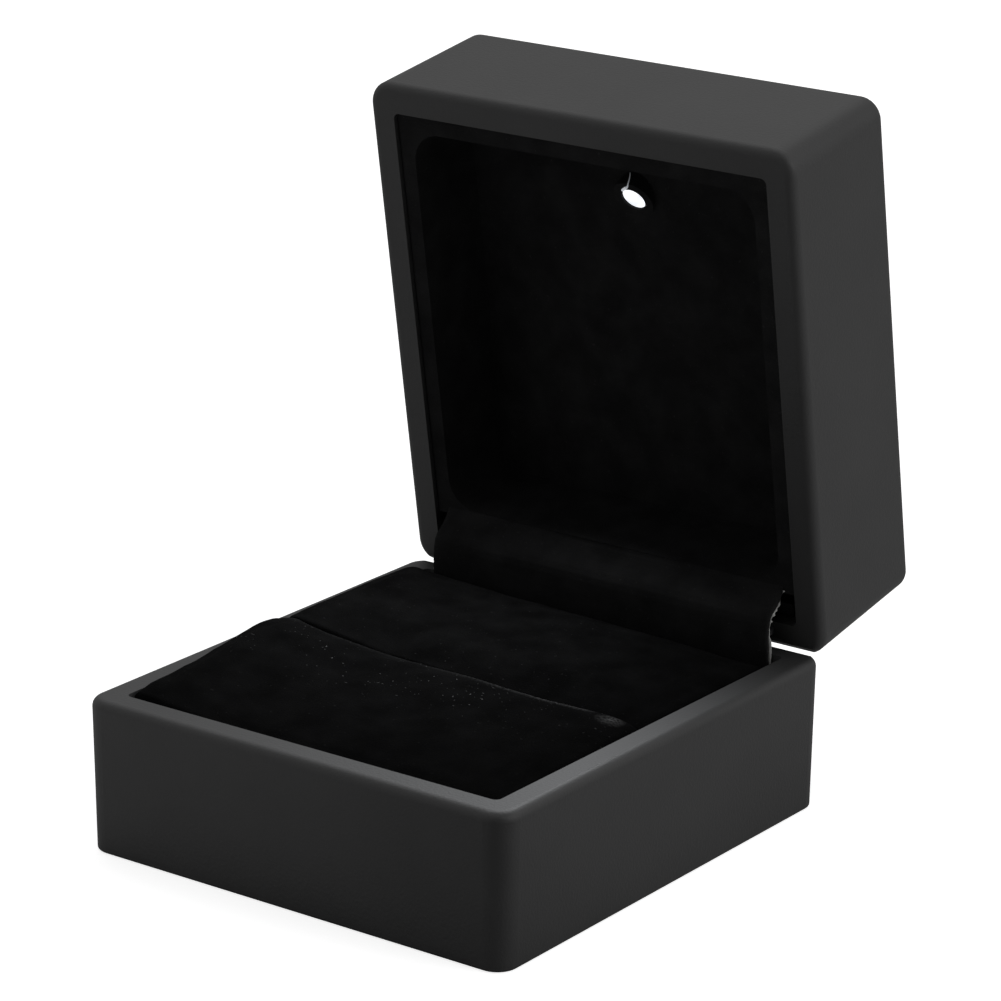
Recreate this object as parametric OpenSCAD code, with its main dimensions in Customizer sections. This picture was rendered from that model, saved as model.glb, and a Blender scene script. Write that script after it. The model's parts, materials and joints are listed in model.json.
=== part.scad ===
// Lighted display box for a small keepsake: two drafted shells on a steel hinge,
// a two-roll cushion in the base and a lamp behind a flocked tray in the lid.
// The base stands on the XY plane and its front faces -Y. The lid is drawn open.

/* [Case] */
// Width of both shells at the rim
case_w = 61; // [58:0.5:80]
// Depth of both shells at the rim, front to back
case_d = 65; // [62:0.5:90]
// Height of the base shell, underside to rim
base_h = 19; // [17:0.5:30]
// Depth of the lid shell, rim to top
lid_h = 20.6; // [20.2:0.2:30]
// Lean of every moulded wall, so the part leaves its mould
draft = 0.9; // [0:0.1:2]
// Radius of the upright outer corners at the rim
corner_r = 3; // [2:0.25:6]
// Width of the flat rim, outer edge to opening
rim_w = 3.65; // [3.4:0.05:4.5]
// Rounding of the rim's outer edge
rim_round = 1.1; // [0.3:0.1:1.3]
// Rounding where the lid's top meets its walls
top_round = 1.4; // [0.4:0.1:2]
// Rounding where the base's underside meets its walls
foot_round = 0.4; // [0.2:0.1:1]
// Radius of the upright corners inside both shells
inner_r = 0.8; // [0.5:0.1:2]
// Thickness of the base's floor
floor_t = 2.2; // [1.6:0.1:3]
// Thickness of the lid's top
top_t = 2.2; // [1.8:0.1:2.4]
// Gap between the two rims when the box is shut
rim_gap = 0.6; // [0.4:0.1:1]
// Relief of the two back rims, which clear each other as the lid opens
back_relief = 1.6; // [1.2:0.1:1.8]

/* [Hinge] */
// How far the lid is turned back from shut, in degrees
open_angle = 80.6; // [40:0.2:84]
// Distance from each end of the hinge to the side of the case
hinge_end = 10.5; // [9.5:0.5:14]
// Distance of the pin from the back of the case
hinge_in = 0.9; // [0.8:0.05:1.2]
// Diameter of the hinge pin
pin_d = 1.0; // [0.8:0.05:1.1]
// Sheet thickness of the hinge leaves
leaf_t = 0.4; // [0.3:0.05:0.5]
// Height of each leaf down or up its wall
leaf_h = 8.5; // [7:0.5:10]
// Number of knuckles along the barrel, an odd number
knuckles = 5; // [3:2:7]
// Radial play of the pin in its knuckles
pin_play = 0.03; // [0.02:0.01:0.05]
// Gap between one knuckle and the next
knuckle_gap = 0.2; // [0.1:0.05:0.4]
// Sheet thickness of the two detent springs
spring_t = 0.25; // [0.15:0.05:0.3]
// Width of each detent spring
spring_w = 5; // [3:0.5:6]

/* [Screws] */
// Shank diameter of the self-tapping screws
screw_d = 1.8; // [1.4:0.1:2]
// Head diameter of the self-tapping screws
screw_head_d = 3.4; // [3:0.1:3.8]
// Length of the hinge screws, head included
hinge_screw_len = 2.8; // [2.4:0.1:3]
// Length of the board screws under the head
board_screw_len = 2.8; // [2.4:0.1:3]
// Distance from each end of a hinge leaf to its screw
screw_end = 7; // [6:0.5:10]

/* [Cushion] */
// Height of the display slot's lips over the rim
crown = 1.5; // [0.5:0.1:2.5]
// Place of the display slot, measured from the middle of the case
slot_y = 1.0; // [-3:0.5:3]
// Width of the display slot
slot_gap = 1.2; // [0.8:0.1:2]
// Rounding of the rolls along the slot and at their ends
roll_r = 2.6; // [1.5:0.1:4]
// Thickness of the card under the rolls
card_t = 1.2; // [0.8:0.1:2]
// Height of the pads that carry the card
pad_h = 1.8; // [1:0.1:3]
// Play between the rolls and the case
cushion_play = 0.4; // [0.4:0.05:0.6]
// Room behind the rear roll for the hinge cover
cover_room = 1.65; // [1.5:0.05:2]

/* [Hinge cover] */
// Distance from each end of the fabric strip to the side of the case
cover_side = 5.5; // [5:0.25:8]
// Thickness of the fabric strip
cover_t = 0.6; // [0.4:0.1:0.7]
// Depth of the strip's end, tucked between cushion and wall
cover_tuck = 8; // [5:0.5:10]
// Height of the strip's fold over the base rim when the lid is open
cover_rise = 4.2; // [3.6:0.1:4.5]
// Radius of the strip's fold, on its middle
cover_bend = 1; // [0.6:0.1:1.5]

/* [Lid tray] */
// Width of the tray's lip beyond the groove
lip_w = 2.0; // [1.5:0.1:3]
// How far the lip sits back from the lid's rim
lip_drop = 0.5; // [0.3:0.1:1]
// Groove between the tray and the lid's wall
tray_play = 0.25; // [0.15:0.05:0.4]
// Wall thickness of the tray
tray_t = 1.0; // [0.8:0.1:1.2]
// Depth of the tray, lid rim to its panel
tray_depth = 11.5; // [10.5:0.1:11.6]
// Lean of the tray's walls
tray_draft = 2; // [1:0.5:4]
// Distance from the lid's back to the tray's opening, room for the hinge
hinge_side = 8.6; // [8.2:0.1:12]
// Radius of the tray's upright corners
tray_r = 4; // [1.5:0.25:4]

/* [Lamp] */
// Diameter of the lamp's lens
led_d = 3.2; // [3:0.1:5]
// Length of the lamp's body behind its lens
led_len = 4.6; // [4:0.1:5]
// Rise of the lens's dome
led_dome = 0.4; // [0.3:0.1:1]
// How far the lens sits back in its seat
led_sink = 0.3; // [0:0.1:0.5]
// Tilt of the lamp towards the display slot, in degrees
led_tilt = 24; // [5:0.5:25]
// Distance of the lamp's seat from the front of the lid
led_from_front = 14.6; // [12:0.1:18]
// How far the seat stands out of the tray's panel
seat_rise = 0.7; // [0.5:0.1:1.5]
// Wall of the seat round the lamp
seat_wall = 1.1; // [0.8:0.1:2]
// Diameter of the lamp's wire leads
lead_d = 0.5; // [0.4:0.05:0.6]

/* [Circuit] */
// Width of the circuit board
board_w = 26; // [25:0.5:30]
// Length of the circuit board
board_l = 34; // [33:0.5:36]
// Thickness of the circuit board
board_t = 1.0; // [0.8:0.1:1.2]
// Height of the posts that carry the board
board_post = 1.2; // [1:0.1:1.6]
// Diameter of the posts that carry the board
board_post_d = 4.2; // [3.6:0.1:5]
// Diameter of the button cell
cell_d = 20; // [16:0.5:20]
// Thickness of the button cell
cell_t = 2.5; // [1.6:0.1:2.5]
// Wall of the cell holder
holder_wall = 1.1; // [0.8:0.1:1.4]
// Sheet thickness of the cell's contact strap
strap_t = 0.3; // [0.2:0.05:0.4]
// Diameter of the switch leads
wire_d = 0.8; // [0.6:0.1:1]

/* [Switch] */
// Diameter of the switch plunger
plunger_d = 1.3; // [1:0.1:1.5]
// How far the plunger stands out of the lid's rim when the box is open
plunger_out = 1.5; // [1.2:0.1:1.6]
// Width of the switch body
switch_w = 4.2; // [3.6:0.1:4.4]
// Height of the switch body
switch_h = 6; // [5:0.5:7]

/* [Hidden] */
$fn = 64;

eps = 0.01;
slope = tan(draft);

// Case
cav_w = case_w - 2 * rim_w;
cav_d = case_d - 2 * rim_w;
back_in = cav_d / 2;
lid_z = base_h + rim_gap;
lid_in_h = lid_h - top_t;

// Hinge: the pin lies level with the middle of the rim gap
hinge_y = case_d / 2 - hinge_in;
hinge_z = base_h + rim_gap / 2;
hinge_w = case_w - 2 * hinge_end;
hinge_screw_pitch = hinge_w - 2 * screw_end;
knuckle_in = pin_d / 2 + pin_play;
knuckle_out = knuckle_in + leaf_t;
knuckle_run = knuckle_out + 0.15;
strip_z = hinge_z - knuckle_out;
pin_head_t = 0.35;
pin_head_play = 0.05;
notch_w = hinge_w + 2 * (pin_head_t + pin_head_play + 0.2);
pitch = hinge_w / knuckles;
leaf_foot = strip_z + leaf_t - leaf_h;
hinge_screw_z = (leaf_foot + strip_z) / 2;
screw_play = 0.04;
head_cone = (screw_head_d - screw_d) / 2;

// Cushion
card_z = floor_t + pad_h;
roll_z = card_z + card_t;
roll_front = -back_in + cushion_play;
roll_back = back_in - cover_room;
roll_half_w = cav_w / 2 - cushion_play;
rim_low = lid_z + lip_drop - base_h - 0.6;

// Hinge cover
cover_w = case_w - 2 * cover_side;
cover_mid = back_in - 0.35 - cover_t / 2;

// Lid tray
tray_half_w = cav_w / 2 - tray_play - lip_w;
tray_front = -back_in + tray_play + lip_w;
tray_back = case_d / 2 - hinge_side;
tray_mid = (tray_front + tray_back) / 2;
tray_z = lid_z + lip_drop;
panel_z = lid_z + tray_depth;
tray_top_z = panel_z + tray_t;
lid_ceiling = lid_z + lid_in_h;
post_x = tray_half_w - 5;
post_d = 5;

// Lamp
led_y = -case_d / 2 + led_from_front;
led_z = panel_z - seat_rise;
led_cap_r = (pow(led_d / 2, 2) + pow(led_dome, 2)) / (2 * led_dome);
flange_d = led_d + 0.9;
flange_t = 0.8;
led_play = 0.05;

// Circuit
board_y = 3;
board_z = lid_ceiling - board_post - board_t;
holder_floor = 0.4;
cell_y = 4;
cell_z = board_z - holder_floor - cell_t;
cell_play = 0.1;
strap_w = 5;
strap_x = cell_d / 2 + holder_wall + 0.5;
screw_spots = [[-10.5, board_y - board_l / 2 + 2.6], [10.5, board_y + board_l / 2 - 2.6]];
board_head_h = 1.2;

// Switch, beside the hinge in the lid's back wall
switch_x = notch_w / 2 + 0.3 + switch_w / 2;
switch_z = lid_z + 2.2;
switch_y0 = back_in - 1.6;
switch_y1 = case_d / 2 - 1.3;
plunger_y = (back_in + switch_y1) / 2;
pocket_play = 0.1;
press_travel = plunger_out - rim_gap + 0.05;

// Turns what is drawn shut back about the hinge pin to the open pose
module opened() {
  translate([0, hinge_y, hinge_z])
    rotate([-open_angle, 0, 0])
      translate([0, -hinge_y, -hinge_z])
        children();
}

// Extrudes a section drawn in Y and Z along X, centred on x
module along_x(length, x = 0) {
  translate([x - length / 2, 0, 0])
    rotate([90, 0, 90])
      linear_extrude(height = length)
        children();
}

// Half section of a drafted wall: r is its reach at the rim, h its height,
// rim_e and foot_e the roundings at the top and at the bottom
module wall_section(r, h, lean, rim_e, foot_e) {
  s = tan(lean);
  k = sqrt(1 + s * s);
  rim_c = r - s * rim_e - rim_e * k;
  foot_c = r - s * (h - foot_e) - foot_e * k;
  polygon([
    [0, 0],
    [foot_c, 0],
    [foot_c + foot_e * cos(lean), foot_e - foot_e * sin(lean)],
    [rim_c + rim_e * cos(lean), h - rim_e - rim_e * sin(lean)],
    [rim_c, h],
    [0, h]
  ]);
  if (rim_e > 0)
    intersection() {
      translate([rim_c, h - rim_e]) circle(r = rim_e);
      translate([0, -1]) square([r + 1, h + 2]);
    }
  if (foot_e > 0)
    intersection() {
      translate([foot_c, foot_e]) circle(r = foot_e);
      translate([0, -1]) square([r + 1, h + 2]);
    }
}

// Drafted block with rounded upright corners, widest at its top
module moulded_block(w, d, h, r, lean, rim_e = 0, foot_e = 0) {
  x = w / 2 - r;
  y = d / 2 - r;
  for (side = [0, 1])
    mirror([side, 0, 0]) {
      translate([x, y, 0])
        rotate([90, 0, 0])
          linear_extrude(height = 2 * y)
            wall_section(r, h, lean, rim_e, foot_e);
      for (end = [0, 1])
        mirror([0, end, 0])
          translate([x, y, 0])
            rotate_extrude(angle = 90)
              wall_section(r, h, lean, rim_e, foot_e);
    }
  for (end = [0, 1])
    mirror([0, end, 0])
      translate([-x, y, 0])
        rotate([90, 0, 90])
          linear_extrude(height = 2 * x)
            wall_section(r, h, lean, rim_e, foot_e);
  translate([-x, -y, 0])
    cube([2 * x, 2 * y, h]);
}

// Cut that takes three flats off a back rim, so that the two rims clear each other, drawn for the base
module rim_relief() {
  near = 0.11 * back_relief;
  far = 0.6 * back_relief;
  run = back_relief + 0.8;
  along_x(case_w + 2)
    translate([case_d / 2, base_h])
      polygon([[-run, 0.3], [-far, -near], [-near, -far], [0.3, -run], [1, -run], [1, 1], [-run, 1]]);
}

// Cuts for one hinge leaf in a back wall, drawn for the base
module hinge_seat() {
  translate([-notch_w / 2, back_in - 1, strip_z])
    cube([notch_w, rim_w + 2, base_h]);
  along_x(notch_w)
    translate([hinge_y, hinge_z]) circle(r = knuckle_run);
  translate([-hinge_w / 2 - screw_play, back_in - 1, leaf_foot - 0.1])
    cube([hinge_w + 2 * screw_play, 1 + leaf_t, leaf_h]);
  for (x = [-1, 1] * hinge_screw_pitch / 2)
    translate([x, back_in, hinge_screw_z])
      rotate([-90, 0, 0]) {
        cylinder(d = screw_d + 2 * screw_play, h = hinge_screw_len + 0.2);
        cylinder(r1 = screw_head_d / 2 + screw_play, r2 = screw_d / 2 + screw_play, h = head_cone);
      }
}

module base_shell() {
  color("#2b2b2d") {
    difference() {
      moulded_block(case_w, case_d, base_h, corner_r, draft, rim_round, foot_round);
      translate([0, 0, floor_t])
        moulded_block(cav_w + 2 * slope, cav_d + 2 * slope, base_h - floor_t + 1, inner_r, draft);
      rim_relief();
      hinge_seat();
    }
    for (x = [-1, 1] * (cav_w / 2 - 5))
      for (y = [-1, 1] * (back_in - 5))
        translate([x, y, floor_t - 0.5])
          cylinder(d = 6, h = pad_h + 0.5);
  }
}

module cushion_board() {
  color("#8a7f6c")
    translate([-roll_half_w + 0.4, roll_front + 0.4, card_z])
      cube([2 * roll_half_w - 0.8, roll_back - roll_front - 0.8, card_t]);
}

// Rounded edge: 0 at the side, 1 from roll_r inwards
function edge_round(reach) =
  reach >= roll_r ? 1 : sqrt(1 - pow(1 - max(reach, 0) / roll_r, 2));

// Stations across a roll, closer together in the rounded ends
function stations(half, steps) =
  [for (i = [0 : steps]) -half * cos(180 * i / steps)];

// Height of a roll's velvet at x and y, with its crest along the slot
function roll_top(x, y, y0, y1, rise0, rise1) =
  let (
    t = (y - y0) / (y1 - y0),
    ends = edge_round(roll_half_w - abs(x)),
    sides = edge_round(min(y - y0, y1 - y)),
    near_wall = pow(abs(x) / roll_half_w, 6),
    rise = rise0 + (rise1 - rise0) * sin(90 * t) + 0.35 * (1 - pow(x / roll_half_w, 2)) * sin(180 * t)
  )
  base_h + min(rise, rise * (1 - near_wall) + rim_low * near_wall) - roll_r * (1 - ends * sides);

// One padded roll between y0 and y1, its long sides drawn in a little between the ends
module roll(y0, y1, rise0, rise1) {
  nx = 28;
  ny = 16;
  mid = (y0 + y1) / 2;
  xs = stations(roll_half_w, nx);
  ys = [for (y = stations((y1 - y0) / 2, ny)) y + mid];
  ring = concat(
    [for (i = [0 : nx - 1]) [i, 0]],
    [for (j = [0 : ny - 1]) [nx, j]],
    [for (i = [nx : -1 : 1]) [i, ny]],
    [for (j = [ny : -1 : 1]) [0, j]]
  );
  count = len(ring);
  top = [for (j = [0 : ny]) for (i = [0 : nx])
    [xs[i], ys[j], roll_top(xs[i], ys[j], y0, y1, rise0, rise1)]];
  draw = 0.35;
  low = [for (p = ring)
    [
      xs[p[0]] * (1 - draw * sin(180 * p[1] / ny) / roll_half_w),
      mid + (ys[p[1]] - mid) * (1 - 2 * draw * sin(180 * p[0] / nx) / (y1 - y0)),
      roll_z
    ]];
  n_top = len(top);
  at = function (p) p[1] * (nx + 1) + p[0];
  polyhedron(
    points = concat(top, low, [[0, mid, roll_z]]),
    faces = concat(
      [for (j = [0 : ny - 1]) for (i = [0 : nx - 1]) [at([i, j]), at([i, j + 1]), at([i + 1, j])]],
      [for (j = [0 : ny - 1]) for (i = [0 : nx - 1]) [at([i + 1, j]), at([i, j + 1]), at([i + 1, j + 1])]],
      [for (k = [0 : count - 1]) [at(ring[k]), at(ring[(k + 1) % count]), n_top + k]],
      [for (k = [0 : count - 1]) [at(ring[(k + 1) % count]), n_top + (k + 1) % count, n_top + k]],
      [for (k = [0 : count - 1]) [n_top + k, n_top + (k + 1) % count, n_top + count]]
    )
  );
}

module front_cushion() {
  color("#101012")
    roll(roll_front, slot_y - slot_gap / 2, -0.8, crown);
}

module back_cushion() {
  color("#101012")
    roll(slot_y + slot_gap / 2, roll_back, crown - 0.3, 0.5);
}

// Section of a leaf: strip to the barrel, bend, and the flat against the wall
module leaf_section(strip_end) {
  bend = leaf_t;
  translate([back_in, leaf_foot]) square([leaf_t, leaf_h - bend]);
  translate([back_in + bend, strip_z]) square([strip_end - back_in - bend, leaf_t]);
  intersection() {
    translate([back_in, strip_z + leaf_t - bend]) square([bend, bend]);
    translate([back_in + bend, strip_z + leaf_t - bend]) circle(r = bend);
  }
}

// A stamped leaf, drawn for the base. odd picks which knuckles it carries
module leaf(odd) {
  difference() {
    union() {
      along_x(hinge_w) leaf_section(hinge_y - knuckle_run);
      for (i = [odd : 2 : knuckles - 1])
        along_x(pitch - knuckle_gap, -hinge_w / 2 + pitch * (i + 0.5)) {
          difference() {
            union() {
              translate([hinge_y, hinge_z]) circle(r = knuckle_out);
              translate([hinge_y - knuckle_run - 0.2, strip_z]) square([knuckle_run + 0.2, leaf_t]);
            }
            translate([hinge_y, hinge_z]) circle(r = knuckle_in);
          }
        }
    }
    for (x = [-1, 1] * hinge_screw_pitch / 2)
      translate([x, back_in, hinge_screw_z])
        rotate([-90, 0, 0])
          cylinder(r1 = screw_head_d / 2 + screw_play, r2 = screw_d / 2 + screw_play, h = head_cone);
  }
}

module flip_to_lid() {
  translate([0, 0, 2 * hinge_z]) mirror([0, 0, 1]) children();
}

module leaf_screws() {
  for (x = [-1, 1] * hinge_screw_pitch / 2)
    translate([x, back_in, hinge_screw_z])
      rotate([-90, 0, 0]) {
        cylinder(r1 = screw_head_d / 2, r2 = screw_d / 2, h = head_cone);
        cylinder(d = screw_d, h = hinge_screw_len);
      }
}

module hinge_base_leaf() {
  color("#3a3a3d") leaf(0);
}

module hinge_base_screws() {
  color("#9a9ca0") leaf_screws();
}

module hinge_pin() {
  color("#444447")
    translate([0, hinge_y, hinge_z])
      rotate([0, 90, 0]) {
        cylinder(d = pin_d, h = hinge_w + 2 * pin_head_play, center = true);
        for (side = [-1, 1])
          translate([0, 0, side * (hinge_w / 2 + pin_head_play + pin_head_t / 2)])
            cylinder(d = pin_d + 0.6, h = pin_head_t, center = true);
      }
}

// Bowed strips on the base leaf that press on the lid leaf's knuckles
module detent_springs() {
  foot_l = 0.8;
  tip_gap = 0.12;
  reach = hinge_y - knuckle_out - tip_gap - (back_in + 0.5) - foot_l;
  bow = reach;
  color("#a4a6aa")
    for (i = [1 : 2 : knuckles - 1])
      along_x(spring_w, -hinge_w / 2 + pitch * (i + 0.5))
        translate([back_in + 0.5, strip_z + leaf_t]) {
          square([foot_l, spring_t]);
          translate([foot_l, bow])
            intersection() {
              difference() {
                circle(r = bow);
                circle(r = bow - spring_t);
              }
              translate([0, -bow]) square([bow, bow * 0.55]);
            }
        }
}

// Velvet strip from the gap behind the cushion, up over the open hinge to the tray's lip
module hinge_cover() {
  lip = [
    hinge_y + (tray_back + tray_t - hinge_y) * cos(open_angle) + (tray_z - hinge_z) * sin(open_angle),
    hinge_z - (tray_back + tray_t - hinge_y) * sin(open_angle) + (tray_z - hinge_z) * cos(open_angle)
  ];
  fold_z = base_h + cover_rise;
  tip = lip + [-0.45, 0.07];
  turn = atan2(tip[0] - cover_mid, tip[1] - fold_z - 0.35);
  bend_end = [cover_mid + cover_bend * (1 - cos(turn)), fold_z + cover_bend * sin(turn)];
  color("#151517")
    along_x(cover_w) {
      translate([cover_mid - cover_t / 2, base_h - cover_tuck])
        square([cover_t, cover_tuck + cover_rise + 0.03]);
      translate([cover_mid + cover_bend, fold_z])
        intersection() {
          difference() {
            circle(r = cover_bend + cover_t / 2);
            circle(r = cover_bend - cover_t / 2);
          }
          polygon([[0, 0], [-4, 0], [-4 * cos(turn), 4 * sin(turn)]]);
        }
      translate(bend_end)
        rotate(90 - turn)
          translate([-0.03, -cover_t / 2])
            square([norm(tip - bend_end) + 0.03, cover_t]);
    }
}

module lid_shell() {
  color("#2b2b2d")
    opened() {
      difference() {
        translate([0, 0, lid_z + lid_h])
          mirror([0, 0, 1])
            moulded_block(case_w, case_d, lid_h, corner_r, draft, rim_round, top_round);
        translate([0, 0, lid_z + lid_in_h])
          mirror([0, 0, 1])
            moulded_block(cav_w + 2 * slope, cav_d + 2 * slope, lid_in_h + 1, inner_r, draft);
        flip_to_lid() rim_relief();
        flip_to_lid() hinge_seat();
        translate([switch_x - switch_w / 2 - pocket_play, back_in - 1, switch_z - pocket_play])
          cube([
            switch_w + 2 * pocket_play,
            switch_y1 - back_in + 1 + pocket_play,
            switch_h + 2 * pocket_play
          ]);
        translate([switch_x, plunger_y, lid_z - 1])
          cylinder(d = plunger_d + 0.16, h = switch_z - lid_z + 1.5);
        for (spot = screw_spots)
          translate([spot[0], spot[1], board_z])
            cylinder(d = screw_d + 2 * screw_play, h = board_screw_len + 0.2);
      }
      for (x = [-1, 1] * post_x)
        for (y = [tray_front + 5, tray_back - 5])
          translate([x, y, tray_top_z])
            cylinder(d = post_d, h = lid_ceiling - tray_top_z + 0.5);
      for (spot = screw_spots)
        translate([spot[0], spot[1], lid_ceiling - board_post])
          difference() {
            cylinder(d = board_post_d, h = board_post + 0.5);
            translate([0, 0, -1])
              cylinder(d = screw_d + 2 * screw_play, h = board_post + 3);
          }
    }
}

module hinge_lid_leaf() {
  color("#3a3a3d") opened() flip_to_lid() leaf(1);
}

module hinge_lid_screws() {
  color("#9a9ca0") opened() flip_to_lid() leaf_screws();
}

// Places what follows on the lamp's axis, with +Z pointing out of the lens
module on_lamp_axis() {
  translate([0, led_y, led_z])
    rotate([180 + led_tilt, 0, 0])
      children();
}

module lid_tray() {
  seat_r = led_d / 2 + led_play + seat_wall;
  seat_l = led_len - flange_t;
  color("#121214")
    opened()
      difference() {
        union() {
          translate([0, tray_mid, tray_top_z])
            mirror([0, 0, 1])
              moulded_block(
                2 * (tray_half_w + tray_t), tray_back - tray_front + 2 * tray_t,
                tray_top_z - tray_z, tray_r + tray_t, tray_draft
              );
          translate([-(cav_w / 2 - tray_play), -(back_in - tray_play), tray_z])
            cube([cav_w - 2 * tray_play, tray_back + tray_t + back_in - tray_play, tray_t]);
          intersection() {
            on_lamp_axis()
              translate([0, 0, -seat_l])
                cylinder(r = seat_r, h = seat_l);
            translate([-2 * seat_r, led_y - 2 * seat_r, panel_z + tray_t / 2])
              cube([4 * seat_r, 4 * seat_r, led_len]);
          }
        }
        difference() {
          translate([0, tray_mid, panel_z])
            mirror([0, 0, 1])
              moulded_block(
                2 * tray_half_w + 2 * tan(tray_draft), tray_back - tray_front + 2 * tan(tray_draft),
                panel_z - tray_z + 1, tray_r, tray_draft
              );
          on_lamp_axis()
            translate([0, 0, -seat_l])
              cylinder(r = seat_r, h = seat_l);
        }
        on_lamp_axis()
          translate([0, 0, -led_len - 2])
            cylinder(d = led_d + 2 * led_play, h = led_len + 4);
        on_lamp_axis()
          translate([0, 0, -led_len - 4])
            cylinder(d = flange_d + 1, h = 4 + flange_t);
      }
}

module led_lamp() {
  color("#f4f7ff")
    opened()
      on_lamp_axis() {
        translate([0, 0, -led_len])
          cylinder(d = led_d, h = led_len - led_sink);
        translate([0, 0, -led_len])
          cylinder(d = flange_d, h = flange_t);
        intersection() {
          translate([0, 0, led_dome - led_cap_r - led_sink]) sphere(r = led_cap_r);
          translate([0, 0, -0.2 - led_sink]) cylinder(d = led_d, h = led_dome + 1);
        }
      }
}

// A straight wire from a to b
module wire(a, b, d) {
  v = b - a;
  length = norm(v);
  translate(a)
    rotate([0, acos(v[2] / length), atan2(v[1], v[0])])
      cylinder(d = d, h = length);
}

module led_leads() {
  axis = [0, -sin(led_tilt), cos(led_tilt)];
  back = [0, led_y, led_z] + led_len * axis;
  edge_y = board_y - board_l / 2;
  low_z = board_z - lead_d / 2 - 0.05;
  color("#c8c8c8")
    opened()
      for (x = [-0.7, 0.7]) {
        foot = [x, back[1], back[2]];
        knee = foot + 1.5 * axis;
        dip = [x, edge_y - 0.5, low_z];
        wire(foot, knee, lead_d);
        translate(knee) sphere(d = lead_d + 0.06);
        wire(knee, dip, lead_d);
        translate(dip) sphere(d = lead_d + 0.06);
        wire(dip, [x, edge_y + 1.6, low_z], lead_d);
      }
}

module circuit_board() {
  color("#2f5d3a")
    opened()
      difference() {
        translate([-board_w / 2, board_y - board_l / 2, board_z])
          cube([board_w, board_l, board_t]);
        for (spot = screw_spots)
          translate([spot[0], spot[1], board_z - 1])
            cylinder(d = screw_d + 0.2, h = board_t + 2);
      }
}

module resistor() {
  color("#3a3a3a")
    opened()
      translate([6, board_y - board_l / 2 + 3.5, board_z - 0.6])
        cube([3.2, 1.6, 0.6]);
}

module battery_holder() {
  outer = cell_d / 2 + holder_wall;
  height = cell_t + holder_floor - 0.2;
  color("#1d1d1f")
    opened()
      translate([0, cell_y, board_z - height])
        difference() {
          cylinder(r = outer, h = height);
          translate([0, 0, -1])
            cylinder(r = cell_d / 2 + cell_play, h = height - holder_floor + 1);
          translate([-cell_d * 0.32, 0, -1])
            cube([cell_d * 0.64, outer + 1, height - holder_floor + 1]);
        }
}

module coin_cell() {
  color("#c4c6c8")
    opened()
      translate([0, cell_y, cell_z]) {
        translate([0, 0, 0.3]) cylinder(d = cell_d, h = cell_t - 0.3);
        cylinder(d = cell_d * 0.86, h = 0.3);
      }
}

module battery_strap() {
  leg = board_z - (cell_z - strap_t);
  color("#cdb267")
    opened()
      translate([0, cell_y - strap_w / 2, cell_z - strap_t]) {
        translate([-strap_x, 0, 0]) cube([2 * strap_x, strap_w, strap_t]);
        for (side = [0, 1])
          mirror([side, 0, 0])
            translate([strap_x - strap_t, 0, 0]) cube([strap_t, strap_w, leg]);
      }
}

module board_screws() {
  color("#9a9ca0")
    opened()
      for (spot = screw_spots)
        translate([spot[0], spot[1], board_z]) {
          translate([0, 0, -board_head_h]) cylinder(d = screw_head_d, h = board_head_h);
          translate([0, 0, -eps]) cylinder(d = screw_d, h = board_screw_len);
        }
}

module switch_body() {
  color("#26262a")
    opened()
      difference() {
        translate([switch_x - switch_w / 2, switch_y0, switch_z])
          cube([switch_w, switch_y1 - switch_y0, switch_h]);
        translate([switch_x, plunger_y, switch_z - 1])
          cylinder(d = plunger_d + 0.12, h = switch_h);
      }
}

module switch_plunger() {
  color("#2a2a2c")
    opened()
      translate([switch_x, plunger_y, lid_z - plunger_out]) {
        translate([0, 0, plunger_d / 2]) sphere(d = plunger_d);
        translate([0, 0, plunger_d / 2])
          cylinder(d = plunger_d, h = switch_z - lid_z + plunger_out - plunger_d / 2 + 1.8);
      }
}

module switch_wires() {
  z0 = switch_z + switch_h;
  z1 = board_z - wire_d / 2;
  color("#7a1f1f")
    opened()
      for (k = [-1, 1]) {
        foot = [switch_x + k, switch_y0 + 0.6, z0];
        knee = [foot[0], foot[1], z1];
        pad = [5 + k, board_y + board_l / 2 - 1.4, z1];
        wire(foot, knee, wire_d);
        translate(knee) sphere(d = wire_d + 0.06);
        wire(knee, pad, wire_d);
      }
}

base_shell();
cushion_board();
front_cushion();
back_cushion();
hinge_base_leaf();
hinge_base_screws();
hinge_pin();
detent_springs();
hinge_cover();
lid_shell();
hinge_lid_leaf();
hinge_lid_screws();
lid_tray();
led_lamp();
led_leads();
circuit_board();
resistor();
battery_holder();
coin_cell();
battery_strap();
board_screws();
switch_body();
switch_plunger();
switch_wires();
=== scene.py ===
import bpy, math, json
import numpy as np
from mathutils import Matrix, Vector, noise

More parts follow.
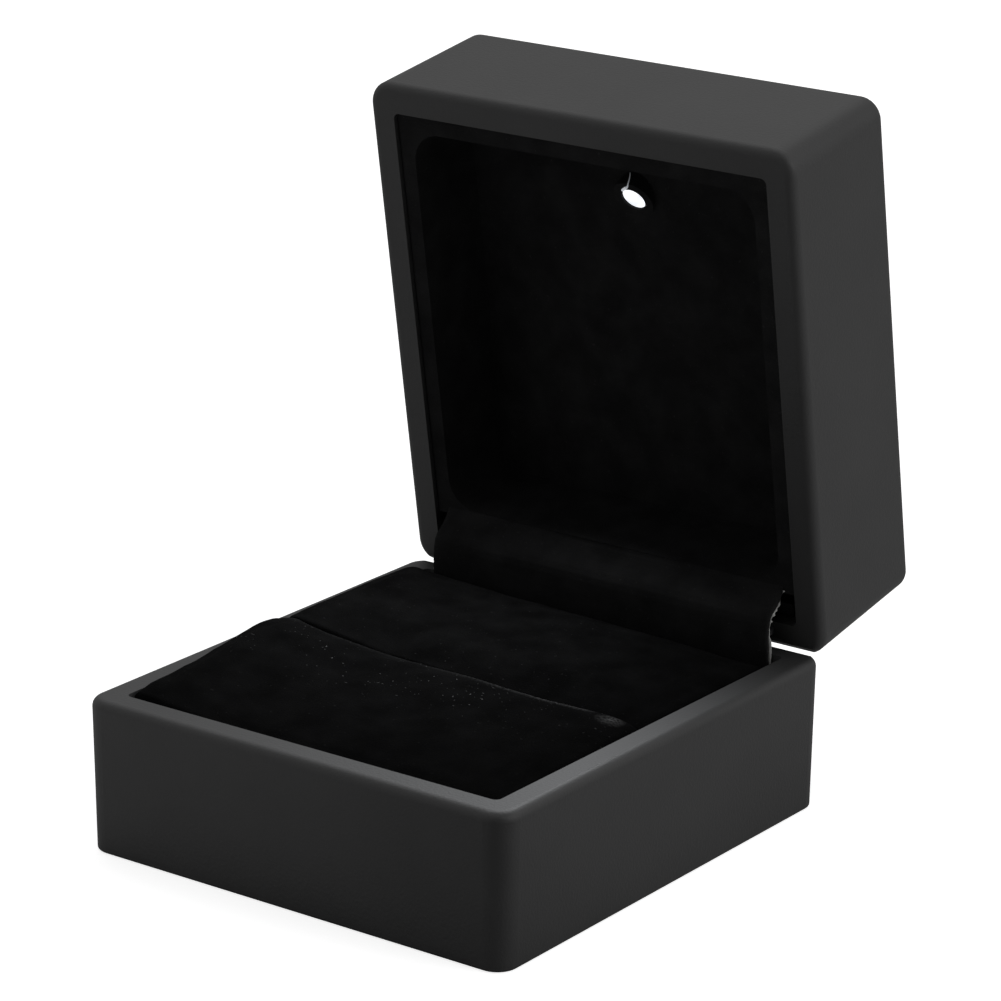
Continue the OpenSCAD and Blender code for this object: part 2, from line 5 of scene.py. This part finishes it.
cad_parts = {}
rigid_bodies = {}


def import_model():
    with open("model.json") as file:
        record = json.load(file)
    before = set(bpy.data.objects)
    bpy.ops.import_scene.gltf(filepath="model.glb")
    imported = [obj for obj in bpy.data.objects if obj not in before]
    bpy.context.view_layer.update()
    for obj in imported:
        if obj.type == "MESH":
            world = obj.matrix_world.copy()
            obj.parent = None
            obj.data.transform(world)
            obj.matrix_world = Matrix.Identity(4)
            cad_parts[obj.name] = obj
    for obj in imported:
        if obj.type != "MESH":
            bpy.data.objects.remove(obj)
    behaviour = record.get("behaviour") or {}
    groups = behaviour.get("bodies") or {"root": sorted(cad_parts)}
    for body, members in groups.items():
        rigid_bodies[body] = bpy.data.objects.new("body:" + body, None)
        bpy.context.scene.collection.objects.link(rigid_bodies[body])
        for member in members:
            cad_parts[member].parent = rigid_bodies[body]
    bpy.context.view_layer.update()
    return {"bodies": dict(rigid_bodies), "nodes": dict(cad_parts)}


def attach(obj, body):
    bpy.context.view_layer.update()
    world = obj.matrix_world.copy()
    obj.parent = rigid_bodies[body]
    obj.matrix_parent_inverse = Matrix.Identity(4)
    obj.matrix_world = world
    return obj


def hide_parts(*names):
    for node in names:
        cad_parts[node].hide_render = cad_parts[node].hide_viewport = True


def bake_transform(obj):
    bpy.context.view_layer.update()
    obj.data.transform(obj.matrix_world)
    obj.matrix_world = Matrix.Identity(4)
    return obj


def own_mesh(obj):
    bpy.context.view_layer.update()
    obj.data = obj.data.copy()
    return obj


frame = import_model()
nodes = frame["nodes"]
mm = 0.001

# The view: a long lens a little over half a metre away, to the right of the
# box's front and slightly above it.
lens_mm, sensor_mm = 159.03, 36
cam_place = Vector((0.292865, -0.391903, 0.200406))
yaw, lift, roll = (math.radians(a) for a in (36.220, 18.067, 0.475))
cam_data = bpy.data.cameras.new("camera")
cam_data.lens = lens_mm
cam_data.sensor_width = sensor_mm
cam_data.clip_start = 0.05
cam_data.clip_end = 20
camera = bpy.data.objects.new("camera", cam_data)
bpy.context.scene.collection.objects.link(camera)
cam_back = Vector((math.sin(yaw) * math.cos(lift), -math.cos(yaw) * math.cos(lift), math.sin(lift)))
cam_right = Vector((math.cos(yaw), math.sin(yaw), 0))
cam_up = cam_back.cross(cam_right)
cam_x = cam_right * math.cos(roll) + cam_up * math.sin(roll)
cam_y = cam_up * math.cos(roll) - cam_right * math.sin(roll)
cam_turn = Matrix((cam_x, cam_y, cam_back)).transposed().to_4x4()
camera.matrix_world = Matrix.Translation(cam_place) @ cam_turn
bpy.context.scene.camera = camera
bpy.context.scene.view_settings.view_transform = "Standard"

# The studio: a white surround and a white table that keeps the shadow, one large
# soft lamp over the box and another at its right. A black card behind the camera
# and a patch of the table, dim in reflections alone, darken the nearest corner.
def add_node(tree, kind, sockets=None, **settings):
    made = tree.nodes.new("ShaderNode" + kind)
    for name, value in settings.items():
        setattr(made, name, value)
    for socket, value in (sockets or {}).items():
        if isinstance(value, bpy.types.NodeSocket):
            tree.links.new(value, made.inputs[socket])
        else:
            made.inputs[socket].default_value = value
    return made


def joined(tree, operation, a, b):
    return add_node(tree, "Math", {0: a, 1: b}, operation=operation).outputs[0]


def ramp(tree, value, low, high, at_low, at_high):
    ends = {"Value": value, "From Min": low, "From Max": high, "To Min": at_low, "To Max": at_high}
    return add_node(tree, "MapRange", ends).outputs["Result"]


def distance_to(tree, where, point):
    return add_node(tree, "VectorMath", {0: where, 1: point}, operation="DISTANCE").outputs["Value"]


def flat_panel(name, half_w, half_d, z=0):
    corners = [(-half_w, -half_d, z), (half_w, -half_d, z), (half_w, half_d, z), (-half_w, half_d, z)]
    mesh = bpy.data.meshes.new(name)
    mesh.from_pydata(corners, [], [(0, 1, 2, 3)])
    panel = bpy.data.objects.new(name, mesh)
    bpy.context.scene.collection.objects.link(panel)
    return panel


air_on_object, air_in_gloss, air_in_view = 0.3, 0.52, 1.0
world = bpy.data.worlds.new("studio")
bpy.context.scene.world = world
world.use_nodes = True
sky = world.node_tree
sky.nodes.clear()
rays = add_node(sky, "LightPath")
on_object, in_gloss, in_view = (
    add_node(sky, "Background", {"Color": (1, 1, 1, 1), "Strength": strength}).outputs[0]
    for strength in (air_on_object, air_in_gloss, air_in_view))
unseen_air = add_node(sky, "MixShader", {0: rays.outputs["Is Glossy Ray"], 1: on_object, 2: in_gloss})
seen = joined(sky, "MAXIMUM", rays.outputs["Is Camera Ray"], rays.outputs["Is Transmission Ray"])
all_air = add_node(sky, "MixShader", {0: seen, 1: unseen_air.outputs[0], 2: in_view})
add_node(sky, "OutputWorld", {0: all_air.outputs[0]})

table_reach = 3
table_z = -0.00003
table_paint = 0.8
dim_patch = (0.060, -0.073, 0)
dim_from, dim_to = 0.025, 0.085
table_top = flat_panel("table_top", table_reach, table_reach, table_z)
table_white = bpy.data.materials.new("table_white")
table_white.use_nodes = True
tree = table_white.node_tree
tree.nodes.clear()
rays = add_node(tree, "LightPath")
where = add_node(tree, "TexCoord").outputs["Object"]
near_patch = ramp(tree, distance_to(tree, where, dim_patch), dim_from, dim_to, 1.0, 0.0)
dimmed = joined(tree, "MULTIPLY", near_patch, rays.outputs["Is Glossy Ray"])
tone = add_node(tree, "Mix", {"Factor": dimmed, "A": (table_paint,) * 3 + (1,), "B": (0.05, 0.05, 0.05, 1)},
                data_type="RGBA")
paint = add_node(tree, "BsdfDiffuse", {"Color": tone.outputs["Result"]})
lifted = joined(tree, "MULTIPLY", rays.outputs["Is Camera Ray"], 0.8)
glow = add_node(tree, "Emission", {"Color": (1, 1, 1, 1), "Strength": lifted})
whole = add_node(tree, "AddShader", {0: paint.outputs[0], 1: glow.outputs[0]})
add_node(tree, "OutputMaterial", {0: whole.outputs[0]})
table_top.data.materials.append(table_white)

for name, place, aim, size, power in (
    ("lamp_over", (-0.20, 0.35, 0.95), (0, 0.02, 0.03), 0.8, 2.0),
    ("lamp_right", (0.80, 0.15, 0.45), (0, 0.02, 0.05), 0.5, 2.0),
):
    lamp = bpy.data.lights.new(name, "AREA")
    lamp.shape = "DISK"
    lamp.size = size
    lamp.energy = power
    holder = bpy.data.objects.new(name, lamp)
    holder.location = place
    holder.rotation_euler = (Vector(aim) - Vector(place)).to_track_quat("-Z", "Y").to_euler()
    bpy.context.scene.collection.objects.link(holder)

card_behind = 0.10
black_card = flat_panel("black_card", 0.32, 0.34)
black_card.matrix_world = Matrix.Translation(cam_place + cam_back * card_behind) @ cam_turn
card_black = bpy.data.materials.new("card_black")
card_black.use_nodes = True
card_black.node_tree.nodes["Principled BSDF"].inputs["Base Color"].default_value = (0.01, 0.01, 0.01, 1)
card_black.node_tree.nodes["Principled BSDF"].inputs["Specular IOR Level"].default_value = 0.0
black_card.data.materials.append(card_black)
black_card.visible_camera = False

# Base shell: moulded ABS under a soft-touch black paint, which dries with a fine
# orange peel and a slightly cloudy tone.
def new_finish(name, **sockets):
    finish = bpy.data.materials.new(name)
    finish.use_nodes = True
    tree = finish.node_tree
    shader = tree.nodes["Principled BSDF"]
    for socket, value in sockets.items():
        shader.inputs[socket.replace("_", " ")].default_value = value
    return finish, tree, shader, add_node(tree, "TexCoord").outputs["Object"]


def grain(tree, where, scale, detail=2):
    speckle = {"Scale": scale, "Detail": detail, "Vector": where}
    return add_node(tree, "TexNoise", speckle).outputs["Fac"]


def shaded(tree, factor, dark, light, low=0.0, high=1.0):
    tones = add_node(tree, "ValToRGB", {"Fac": factor})
    for stop, at, tone in zip(tones.color_ramp.elements, (low, high), (dark, light)):
        stop.position = at
        stop.color = (*tone, 1)
    return tones.outputs["Color"]


def raised(tree, shader, height, strength, distance):
    bump = add_node(tree, "Bump", {"Strength": strength, "Distance": distance, "Height": height})
    tree.links.new(bump.outputs["Normal"], shader.inputs["Normal"])


def soft_touch_paint():
    finish, tree, shader, where = new_finish("soft_touch_paint", Roughness=0.64, Specular_IOR_Level=0.68)
    cloud = shaded(tree, grain(tree, where, 90, 4), (0.0118, 0.0118, 0.0120), (0.0168, 0.0168, 0.0170),
                   0.3, 0.7)
    tree.links.new(cloud, shader.inputs["Base Color"])
    raised(tree, shader, grain(tree, where, 2900), 0.4, 0.00009)
    return finish


def dress(node, finish):
    mesh = nodes[node].data
    if not mesh.materials:
        mesh.materials.append(finish)
    for i in range(len(mesh.materials)):
        mesh.materials[i] = finish


shell_paint = soft_touch_paint()
dress("base_shell", shell_paint)

# Card under the rolls: grey-brown board, die cut, lying on the four pads of the
# base's floor.
card, tree, shader, where = new_finish("grey_board", Roughness=0.9)
fibre = shaded(tree, grain(tree, where, 900, 5), (0.16, 0.13, 0.09), (0.30, 0.26, 0.19))
tree.links.new(fibre, shader.inputs["Base Color"])
dress("cushion_board", card)

# Hinge: two stamped leaves with rolled knuckles on a peened pin, all plated in
# black nickel, each leaf held by two countersunk screws, with two bowed springs
# on the base's.
def bare_steel(name, tone, rough, scale):
    finish, tree, shader, where = new_finish(name, Metallic=1.0, Roughness=rough)
    drawn_out = add_node(tree, "Mapping", {"Vector": where, "Scale": (40, 1, 1)}).outputs["Vector"]
    streak = grain(tree, drawn_out, scale, 3)
    dark = [0.8 * c for c in tone]
    tree.links.new(shaded(tree, streak, dark, tone), shader.inputs["Base Color"])
    raised(tree, shader, streak, 0.1, 0.00002)
    return finish


leaf_steel = bare_steel("black_nickel", (0.035, 0.035, 0.038), 0.42, 120)
screw_steel = bare_steel("zinc_screw", (0.46, 0.47, 0.49), 0.4, 400)
spring_steel = bare_steel("blued_spring", (0.33, 0.35, 0.40), 0.3, 150)
for node in ("hinge_base_leaf", "hinge_lid_leaf", "hinge_pin"):
    dress(node, leaf_steel)
for node in ("hinge_base_screws", "hinge_lid_screws", "board_screws"):
    dress(node, screw_steel)
dress("detent_springs", spring_steel)

# The two rolls: short black velvet pulled over foam and glued under the card.
# They crown towards the slot between them and puff over the left rim. Lint has
# gathered in front of the slot, with a tuft at the right, and a painted highlight,
# broken up by fuzz, runs along the front roll's crest at the slot.
tuft_place = (22.9 * mm, -1.7 * mm, 19.3 * mm)
# Where the painted crest highlight stops, at the front roll's back edge.
crest_highlight_end = (0.65 * mm, 0.75 * mm)


# Lint specks in front of the slot and a tuft at the right, with a painted highlight along the front roll's
# crest, broken up by fuzz.
def lint_and_crest_highlight(tree, flecks, where, across, along):
    in_front = ramp(tree, along, -15 * mm, -6 * mm, 0.1, 1.0)
    front_only = ramp(tree, along, 0.65 * mm, 0.8 * mm, 1.0, 0.2)
    to_left = ramp(tree, across, 6 * mm, 14 * mm, 1.0, 0.3)
    specked = joined(tree, "MULTIPLY", joined(tree, "MULTIPLY", flecks, in_front),
                     joined(tree, "MULTIPLY", front_only, to_left))
    frizz = ramp(tree, grain(tree, where, 3000, 3), 0.36, 0.66, 0.05, 0.7)
    # Painted highlight: a lighter band along the front roll's crest at the slot, stronger towards the right
    # and stopping before the right end.
    crest_highlight = joined(tree, "MULTIPLY", ramp(tree, along, -1.7 * mm, -0.6 * mm, 0.0, 1.0),
                 ramp(tree, across, -4 * mm, 13 * mm, 0.15, 0.75))
    crest_highlight = joined(tree, "MULTIPLY", crest_highlight, ramp(tree, along, *crest_highlight_end, 1.0, 0.0))
    crest_highlight = joined(tree, "MULTIPLY", crest_highlight, ramp(tree, across, 18.5 * mm, 20.5 * mm, 1.0, 0.0))
    tuft = ramp(tree, distance_to(tree, where, tuft_place), 0.3 * mm, 2.0 * mm, 0.85, 0.0)
    highlight_and_tuft = joined(tree, "MULTIPLY", joined(tree, "MAXIMUM", crest_highlight, tuft), frizz)
    return joined(tree, "MAXIMUM", specked, highlight_and_tuft)


# Painted light: the velvet's tone is scaled lighter towards the left and up to twice as light towards the
# back, a painted fall-off of light across the rolls.
def painted_falloff(tree, tone, across, along):
    painted_lean = joined(tree, "MULTIPLY", ramp(tree, across, -20 * mm, 20 * mm, 1.28, 0.62),
                  ramp(tree, along, -26 * mm, 24 * mm, 1.0, 2.0))
    return add_node(tree, "VectorMath", {0: tone, "Scale": painted_lean}, operation="SCALE").outputs["Vector"]


def black_velvet(name, dark, light, pile=5200, lint=0.2, on_rolls=False):
    finish, tree, shader, where = new_finish(name, Roughness=0.95, Specular_IOR_Level=0.01,
                                             Sheen_Weight=0.006, Sheen_Roughness=0.35)
    tone = shaded(tree, grain(tree, where, 240, 6), (dark, dark, dark * 1.02),
                  (light, light, light * 1.02), 0.35, 0.7)
    flecks = shaded(tree, grain(tree, where, 2400, 1), (0, 0, 0), (lint, lint, lint), 0.72, 0.78)
    if on_rolls:
        parts = add_node(tree, "SeparateXYZ", {"Vector": where})
        across, along = parts.outputs["X"], parts.outputs["Y"]
        # Lint, tuft and the painted crest highlight.
        flecks = lint_and_crest_highlight(tree, flecks, where, across, along)
        # Painted fall-off of light across the rolls.
        tone = painted_falloff(tree, tone, across, along)
    mix = add_node(tree, "Mix", {"Factor": flecks, "A": tone, "B": (0.10, 0.10, 0.10, 1)}, data_type="RGBA")
    tree.links.new(mix.outputs["Result"], shader.inputs["Base Color"])
    raised(tree, shader, grain(tree, where, pile, 3), 0.6, 0.00015)
    return finish


cushion_velvet = black_velvet("cushion_velvet", 0.0019, 0.0038, lint=0.95, on_rolls=True)
roll_half = 26.5
roll_floor = 5.25
front_y0, front_y1 = -28.5, 0.6
back_y0, back_y1 = 0.8, 27.1
rim_z = 18.0
left_y = (-28.5, -27.6, -25, -21, -19.4, -17.6, -15.8, -13.9, -12.1, -10.2, -8.3, -6.5, -4.6, -2.7, -0.8, 1)
left_z = (18.2, 19.3, 20.0, 20.2, 20.4, 20.5, 20.7, 21.0, 21.1, 21.3, 21.5, 21.7, 21.8, 21.6, 21.1, 20.7)


def rounded(reach, radius):
    return 1 - math.sqrt(max(0, 1 - min(max(1 - reach / radius, 0), 1) ** 2))


def height_front(x, y):
    up = min(max((y + 28.4) / 26.8, 0), 1)
    rise = math.sin(math.pi / 2 * up) ** 0.8
    crest = np.interp(x, (-26.5, -12, -7, -1, 6, 13, 18, 21, 24, 26.5),
                      (20.0, 20.0, 19.85, 19.95, 19.75, 19.5, 19.6, 19.7, 19.4, 18.7))
    z = rim_z + (crest - rim_z) * rise
    puff = np.interp(y, left_y, left_z) - (rim_z + 2.0 * rise)
    z += puff * math.exp(-((x + 25) / 8.5) ** 2)
    z -= float(np.interp(x, (-24.5, -20), (0.3, 2.4))) * rounded(front_y1 - y, 1.9)
    left_drop = float(np.interp(y, (-28.5, -18, -7, 0.6), (0.4, 1.5, 1.1, 0.5)))
    z -= (1.5 if x > 0 else left_drop) * rounded(roll_half - abs(x), 1.3)
    z -= float(np.interp(x, (-26.5, -18), (0.3, 1.2))) * rounded(y - front_y0, 1.6)
    return z


def height_back(x, y):
    z = np.interp(x, (-26.5, -25, -19, -12, 0, 15, 26.5), (21.2, 21.15, 20.9, 20.6, 20.3, 19.9, 19.3))
    across = min(max((y - back_y0) / 26.3, 0), 1)
    z -= 0.35 * abs(2 * across - 1) ** 3
    away = np.interp(x, (-25, -21, -13), (0.08, 0.3, 1.0))
    z -= 1.25 * away * math.exp(-(max(y - back_y0, 0) / 3.0) ** 1.5)
    z -= float(np.interp(x, (-24.5, -20), (0.2, 0.9))) * rounded(y - back_y0, 0.5)
    z -= 2.6 * rounded(back_y1 - y, 4.2)
    left_drop = float(np.interp(y, (0.8, 9, 20), (0.5, 1.1, 1.5)))
    z -= (1.5 if x > 0 else left_drop) * rounded(roll_half - abs(x), 1.4)
    return z


def cloth_piece(name, verts, faces, finish):
    mesh = bpy.data.meshes.new(name)
    mesh.from_pydata(verts, [], faces)
    mesh.update()
    for face in mesh.polygons:
        face.use_smooth = True
    piece = bpy.data.objects.new(name, mesh)
    bpy.context.scene.collection.objects.link(piece)
    mesh.materials.append(finish)
    return piece


nx, ny, nz = 96, 56, 14
drawn_in = 0.5 * mm


def crowded(k, count):
    even = -math.cos(math.pi * k / count)
    return 0.35 * even + 0.65 * math.sin(math.pi / 2 * even)


def cushion_roll(name, y0, y1, height):
    verts, faces, grid = [], [], {}
    for j in range(ny + 1):
        for i in range(nx + 1):
            x = roll_half * crowded(i, nx)
            y = (y0 + y1) / 2 + (y1 - y0) / 2 * crowded(j, ny)
            p = Vector((x, y, 0))
            ripple = 0.10 * noise.noise(p * 0.22) + 0.05 * noise.noise(p * 0.6 + Vector((7, 3, 1)))
            slack = 0.2 * min(max(min(roll_half - abs(x), y - y0, y1 - y) / 2.2, 0), 1)
            grid[i, j] = len(verts)
            verts.append((x * mm, y * mm, (height(x, y) + ripple - slack) * mm))
    for j in range(ny):
        for i in range(nx):
            faces.append((grid[i, j], grid[i + 1, j], grid[i + 1, j + 1], grid[i, j + 1]))
    ring = ([(i, 0) for i in range(nx)] + [(nx, j) for j in range(ny)]
            + [(i, ny) for i in range(nx, 0, -1)] + [(0, j) for j in range(ny, 0, -1)])
    last = [grid[k] for k in ring]
    for k in range(1, nz + 1):
        down = k / nz
        pull = drawn_in * math.sin(math.pi * down)
        row = []
        for i, j in ring:
            x, y, z = verts[grid[i, j]]
            x2 = x - math.copysign(pull, x) if i in (0, nx) else x
            y2 = y + pull * (1 if j == 0 else -1) if j in (0, ny) else y
            row.append(len(verts))
            verts.append((x2, y2, z + (roll_floor * mm - z) * down))
        for a in range(len(ring)):
            b = (a + 1) % len(ring)
            faces.append((last[b], last[a], row[a], row[b]))
        last = row
    hub = len(verts)
    verts.append((0, (y0 + y1) / 2 * mm, roll_floor * mm))
    for a in range(len(ring)):
        faces.append((last[(a + 1) % len(ring)], last[a], hub))
    return cloth_piece(name, verts, faces, cushion_velvet)


front_roll = cushion_roll("front_roll", front_y0, front_y1, height_front)
back_roll = cushion_roll("back_roll", back_y0, back_y1, height_back)


# The foam presses the velvet up: a cloth twenty times as large swells under
# pressure, held at its sides and underside, and each point moves 0.3 mm at most.
def swell(roll, big=20, cap=0.3 * mm, edge=2.2 * mm, last_frame=20):
    mesh = roll.data
    skin = mesh.copy()
    for v in skin.vertices:
        v.co *= big
    soft = bpy.data.objects.new(roll.name + "_cloth", skin)
    bpy.context.scene.collection.objects.link(soft)
    lo_y = min(v.co.y for v in mesh.vertices)
    hi_y = max(v.co.y for v in mesh.vertices)
    on_top = (nx + 1) * (ny + 1)
    held = soft.vertex_groups.new(name="held")
    free = {}
    for v in mesh.vertices:
        reach = min(roll_half * mm - abs(v.co.x), v.co.y - lo_y, hi_y - v.co.y)
        free[v.index] = min(max(reach / edge, 0), 1) if v.index < on_top else 0
        held.add([v.index], 1 - free[v.index], "REPLACE")
    cloth = soft.modifiers.new("cloth", "CLOTH")
    cloth.settings.vertex_group_mass = "held"
    cloth.settings.use_pressure = True
    cloth.settings.uniform_pressure_force = 4
    cloth.settings.effector_weights.gravity = 0
    cloth.settings.quality = 5
    cloth.settings.mass = 0.3
    cloth.settings.bending_stiffness = 0.5
    cloth.point_cache.frame_start = 1
    cloth.point_cache.frame_end = last_frame
    for frame_no in range(1, last_frame + 1):
        bpy.context.scene.frame_set(frame_no)
    settled = soft.evaluated_get(bpy.context.evaluated_depsgraph_get()).to_mesh()
    shift = [(b.co - a.co) / big for a, b in zip(skin.vertices, settled.vertices)]
    bpy.data.objects.remove(soft)
    bpy.context.scene.frame_set(1)
    for v, move in zip(mesh.vertices, shift):
        if move.length > cap:
            move *= cap / move.length
        v.co += move * free[v.index]
    mesh.update()


for roll_piece in (front_roll, back_roll):
    swell(roll_piece)

for roll_piece, node in ((front_roll, "front_cushion"), (back_roll, "back_cushion")):
    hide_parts(node)
    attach(roll_piece, "base")
    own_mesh(roll_piece)

# Lid shell: the same moulding and paint as the base, with the lamp's parts
# hidden between its top and the tray.
dress("lid_shell", shell_paint)

# Lid tray: a thin moulding flocked with the same black pile, pressed into the
# lid, with a lip that stops just short of the rim. Its flock is painted several
# times lighter than the rolls' velvet: painted light for the shade inside the lid.
tray_flock_painted_lighter = black_velvet("tray_flock_painted_lighter", 0.0135, 0.0210, 4600, 0.12)
dress("lid_tray", tray_flock_painted_lighter)

# Lamp: a small clear domed lens in a flocked seat, lit white. Its seat leans
# towards the display slot, and a thread of clear glue hangs from its edge, painted
# with a glow that fades away from the lens: a painted glint of the lamp's light.
lit_lens, tree, shader, where = new_finish("lit_lens", Base_Color=(0.9, 0.93, 1.0, 1), Roughness=0.12,
                                           Emission_Strength=1.1)
chip_glow = shaded(tree, grain(tree, where, 700), (0.70, 0.72, 0.76), (0.97, 0.98, 1.0), 0.3, 0.6)
tree.links.new(chip_glow, shader.inputs["Emission Color"])
dress("led_lamp", lit_lens)

lid_turn = math.radians(80.6)
pin_y, pin_z = 31.6, 19.3


def as_opened(x, y, z):
    return Vector((x, pin_y + (y - pin_y) * math.cos(lid_turn) + (z - pin_z) * math.sin(lid_turn),
                   pin_z - (y - pin_y) * math.sin(lid_turn) + (z - pin_z) * math.cos(lid_turn))) * mm


lamp_tilt = math.radians(24)
lens_y, lens_z = -17.9, 30.4
lens_middle = as_opened(0, lens_y, lens_z)
beam_aim = as_opened(0, lens_y + math.sin(lamp_tilt), lens_z - math.cos(lamp_tilt))
beam_way = (beam_aim - lens_middle).normalized()
beam = bpy.data.lights.new("lens_beam", "AREA")
beam.shape = "DISK"
beam.size = 2.8 * mm
beam.spread = math.radians(110)
beam.energy = 0.0145
beam.color = (0.95, 0.97, 1.0)
beam_holder = bpy.data.objects.new("lens_beam", beam)
beam_holder.location = lens_middle + beam_way * 0.7 * mm
beam_holder.rotation_euler = beam_way.to_track_quat("-Z", "Y").to_euler()
bpy.context.scene.collection.objects.link(beam_holder)
beam_holder.parent = frame["bodies"]["lid"]

# Painted glint: the glue glows, brightest next to the lens and fading along the thread.
glue, tree, shader, where = new_finish("glue_painted_glow", Roughness=0.2)
glue_glow_tone = shaded(tree, grain(tree, where, 3000), (0.5, 0.54, 0.6), (0.95, 0.97, 1))
tree.links.new(glue_glow_tone, shader.inputs["Base Color"])
tree.links.new(glue_glow_tone, shader.inputs["Emission Color"])
height = add_node(tree, "SeparateXYZ", {"Vector": where}).outputs["Z"]
painted_glow_fade = ramp(tree, height, 71.2 * mm, 72.2 * mm, 0.5, 0.09)
tree.links.new(painted_glow_fade, shader.inputs["Emission Strength"])

thread = bpy.data.curves.new("glue_thread", "CURVE")
thread.dimensions = "3D"
thread.bevel_depth = 0.11 * mm
thread.bevel_resolution = 3
thread.use_fill_caps = True
thread_run = [(-1.00, -19.22, 29.74, 1.6), (-0.45, -19.62, 29.55, 1.7), (-0.08, -19.85, 29.44, 1.3),
              (0.15, -20.15, 29.31, 0.9), (0.30, -20.44, 29.2, 0.75), (0.05, -20.78, 29.9, 0.6),
              (-0.25, -21.0, 30.5, 0.5), (-0.5, -21.12, 30.9, 0.35)]
line = thread.splines.new("POLY")
line.points.add(len(thread_run) - 1)
for point, (x, y, z, thin) in zip(line.points, thread_run):
    point.co = (*as_opened(x, y, z), 1)
    point.radius = thin
glue_thread = bpy.data.objects.new("glue_thread", thread)
bpy.context.scene.collection.objects.link(glue_thread)
thread.materials.append(glue)
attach(glue_thread, "lid")

# What the lid hides: a green board on two posts, the cell in its moulded cup
# under a brass strap, tinned leads to the lamp and the switch by the hinge.
def moulded(name, tone, rough, scale=1500, spread=0.85):
    finish, tree, shader, where = new_finish(name, Roughness=rough)
    spot = grain(tree, where, scale, 4)
    dark = [spread * c for c in tone]
    tree.links.new(shaded(tree, spot, dark, tone), shader.inputs["Base Color"])
    raised(tree, shader, spot, 0.1, 0.00003)
    return finish


board_mask = moulded("board_mask", (0.02, 0.12, 0.05), 0.35, 500, 0.7)
black_part = moulded("black_moulding", (0.02, 0.02, 0.022), 0.45)
red_sleeve = moulded("red_sleeve", (0.35, 0.02, 0.02), 0.4, 800)
dress("circuit_board", board_mask)
for node in ("resistor", "battery_holder", "switch_body", "switch_plunger"):
    dress(node, black_part)
dress("switch_wires", red_sleeve)
dress("coin_cell", bare_steel("cell_can", (0.62, 0.63, 0.65), 0.28, 60))
dress("battery_strap", bare_steel("brass_strap", (0.60, 0.46, 0.20), 0.3, 90))
dress("led_leads", bare_steel("tinned_lead", (0.62, 0.62, 0.63), 0.25, 200))

# Hinge cover: a strip of the velvet, cut with a knife, tucked behind the back
# roll and glued to the tray's lip. Its white backing frays at the cut edge.
strip_half = 25.0
nu, nv = 110, 120
strip_path = [(28.25, 11.0), (28.25, 14.0), (28.25, 17.0), (28.1, 19.3), (28.05, 21.3), (28.12, 22.6),
              (28.3, 23.4), (28.74, 24.05), (29.3, 24.5), (29.9, 24.95), (30.5, 25.6), (30.85, 26.15),
              (30.98, 26.55), (30.93, 26.97)]
fray_z = (11, 18.4, 19.4, 20.4, 21.0, 21.3, 21.9, 22.5, 23.0, 23.3, 23.55, 23.9, 24.12, 24.35, 24.6, 24.8,
          25.1, 25.4, 25.9, 26.2, 26.45, 26.7)
fray_x = (0.2, 0.26, 0.36, 0.34, 0.26, 0.02, 0.05, -0.05, 0.0, 0.34, -0.02, 0.04, 0.36, 0.1, 0.22, 0.06,
          0.22, -0.02, -0.12, -0.05, 0.3, -0.1)
strip_run = [0.0]
for a, b in zip(strip_path, strip_path[1:]):
    strip_run.append(strip_run[-1] + math.dist(a, b))
strip_long = strip_run[-1]


def strip_point(s):
    return (float(np.interp(s, strip_run, [p[0] for p in strip_path])),
            float(np.interp(s, strip_run, [p[1] for p in strip_path])))


def hinge_strip(name, thick, back_off, fray, finish):
    right_edge, left_edge = [], []
    for j in range(nv + 1):
        z = strip_point(strip_long * j / nv)[1]
        loose = float(np.interp(z, fray_z, fray_x)) if fray else 0
        right_edge.append(strip_half + loose + 0.05 * noise.noise(Vector((0.45 * j, 3.1, 0))))
        left_edge.append(-strip_half - 0.8 * loose - 0.08 * noise.noise(Vector((0.4 * j, 9.1, 0))))
    verts, faces, at = [], [], {}
    for side in (0, 1):
        for j in range(nv + 1):
            s = strip_long * j / nv
            y, z = strip_point(s)
            y2, z2 = strip_point(min(s + 0.2, strip_long))
            y1, z1 = strip_point(max(s - 0.2, 0))
            way = Vector((y2 - y1, z2 - z1)).normalized()
            end = min(1, (strip_long - s) / 0.7)
            off = back_off + thick * (1 if side else 1 - end)
            for i in range(nu + 1):
                x = left_edge[j] + (right_edge[j] - left_edge[j]) * (i / nu)
                sag = 0.10 * noise.noise(Vector((x * 0.12, s * 0.3, 5.0)))
                at[side, i, j] = len(verts)
                verts.append((x * mm, (y + (off + sag) * way.y) * mm, (z - (off + sag) * way.x) * mm))
    for j in range(nv):
        for i in range(nu):
            faces.append((at[0, i, j], at[0, i + 1, j], at[0, i + 1, j + 1], at[0, i, j + 1]))
            faces.append((at[1, i, j], at[1, i, j + 1], at[1, i + 1, j + 1], at[1, i + 1, j]))
    for j in range(nv):
        for i, flip in ((0, True), (nu, False)):
            quad = (at[0, i, j], at[1, i, j], at[1, i, j + 1], at[0, i, j + 1])
            faces.append(quad[::-1] if flip else quad)
    for i in range(nu):
        for j, flip in ((0, False), (nv, True)):
            quad = (at[0, i, j], at[1, i, j], at[1, i + 1, j], at[0, i + 1, j])
            faces.append(quad[::-1] if flip else quad)
    return cloth_piece(name, verts, faces, finish)


# The strip's velvet is painted several times lighter than the rolls' velvet: painted light for the shade it
# sits in under the lid.
strip_velvet_painted_lighter = black_velvet("strip_velvet_painted_lighter", 0.0155, 0.0235)
backing_cloth = moulded("backing_cloth", (0.62, 0.62, 0.60), 0.9, 2500, 0.6)
hinge_velvet = hinge_strip("hinge_velvet", 0.35, -0.1, False, strip_velvet_painted_lighter)
hinge_backing = hinge_strip("hinge_backing", 0.08, 0.27, True, backing_cloth)
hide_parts("hinge_cover")
for piece in (hinge_velvet, hinge_backing):
    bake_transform(piece)
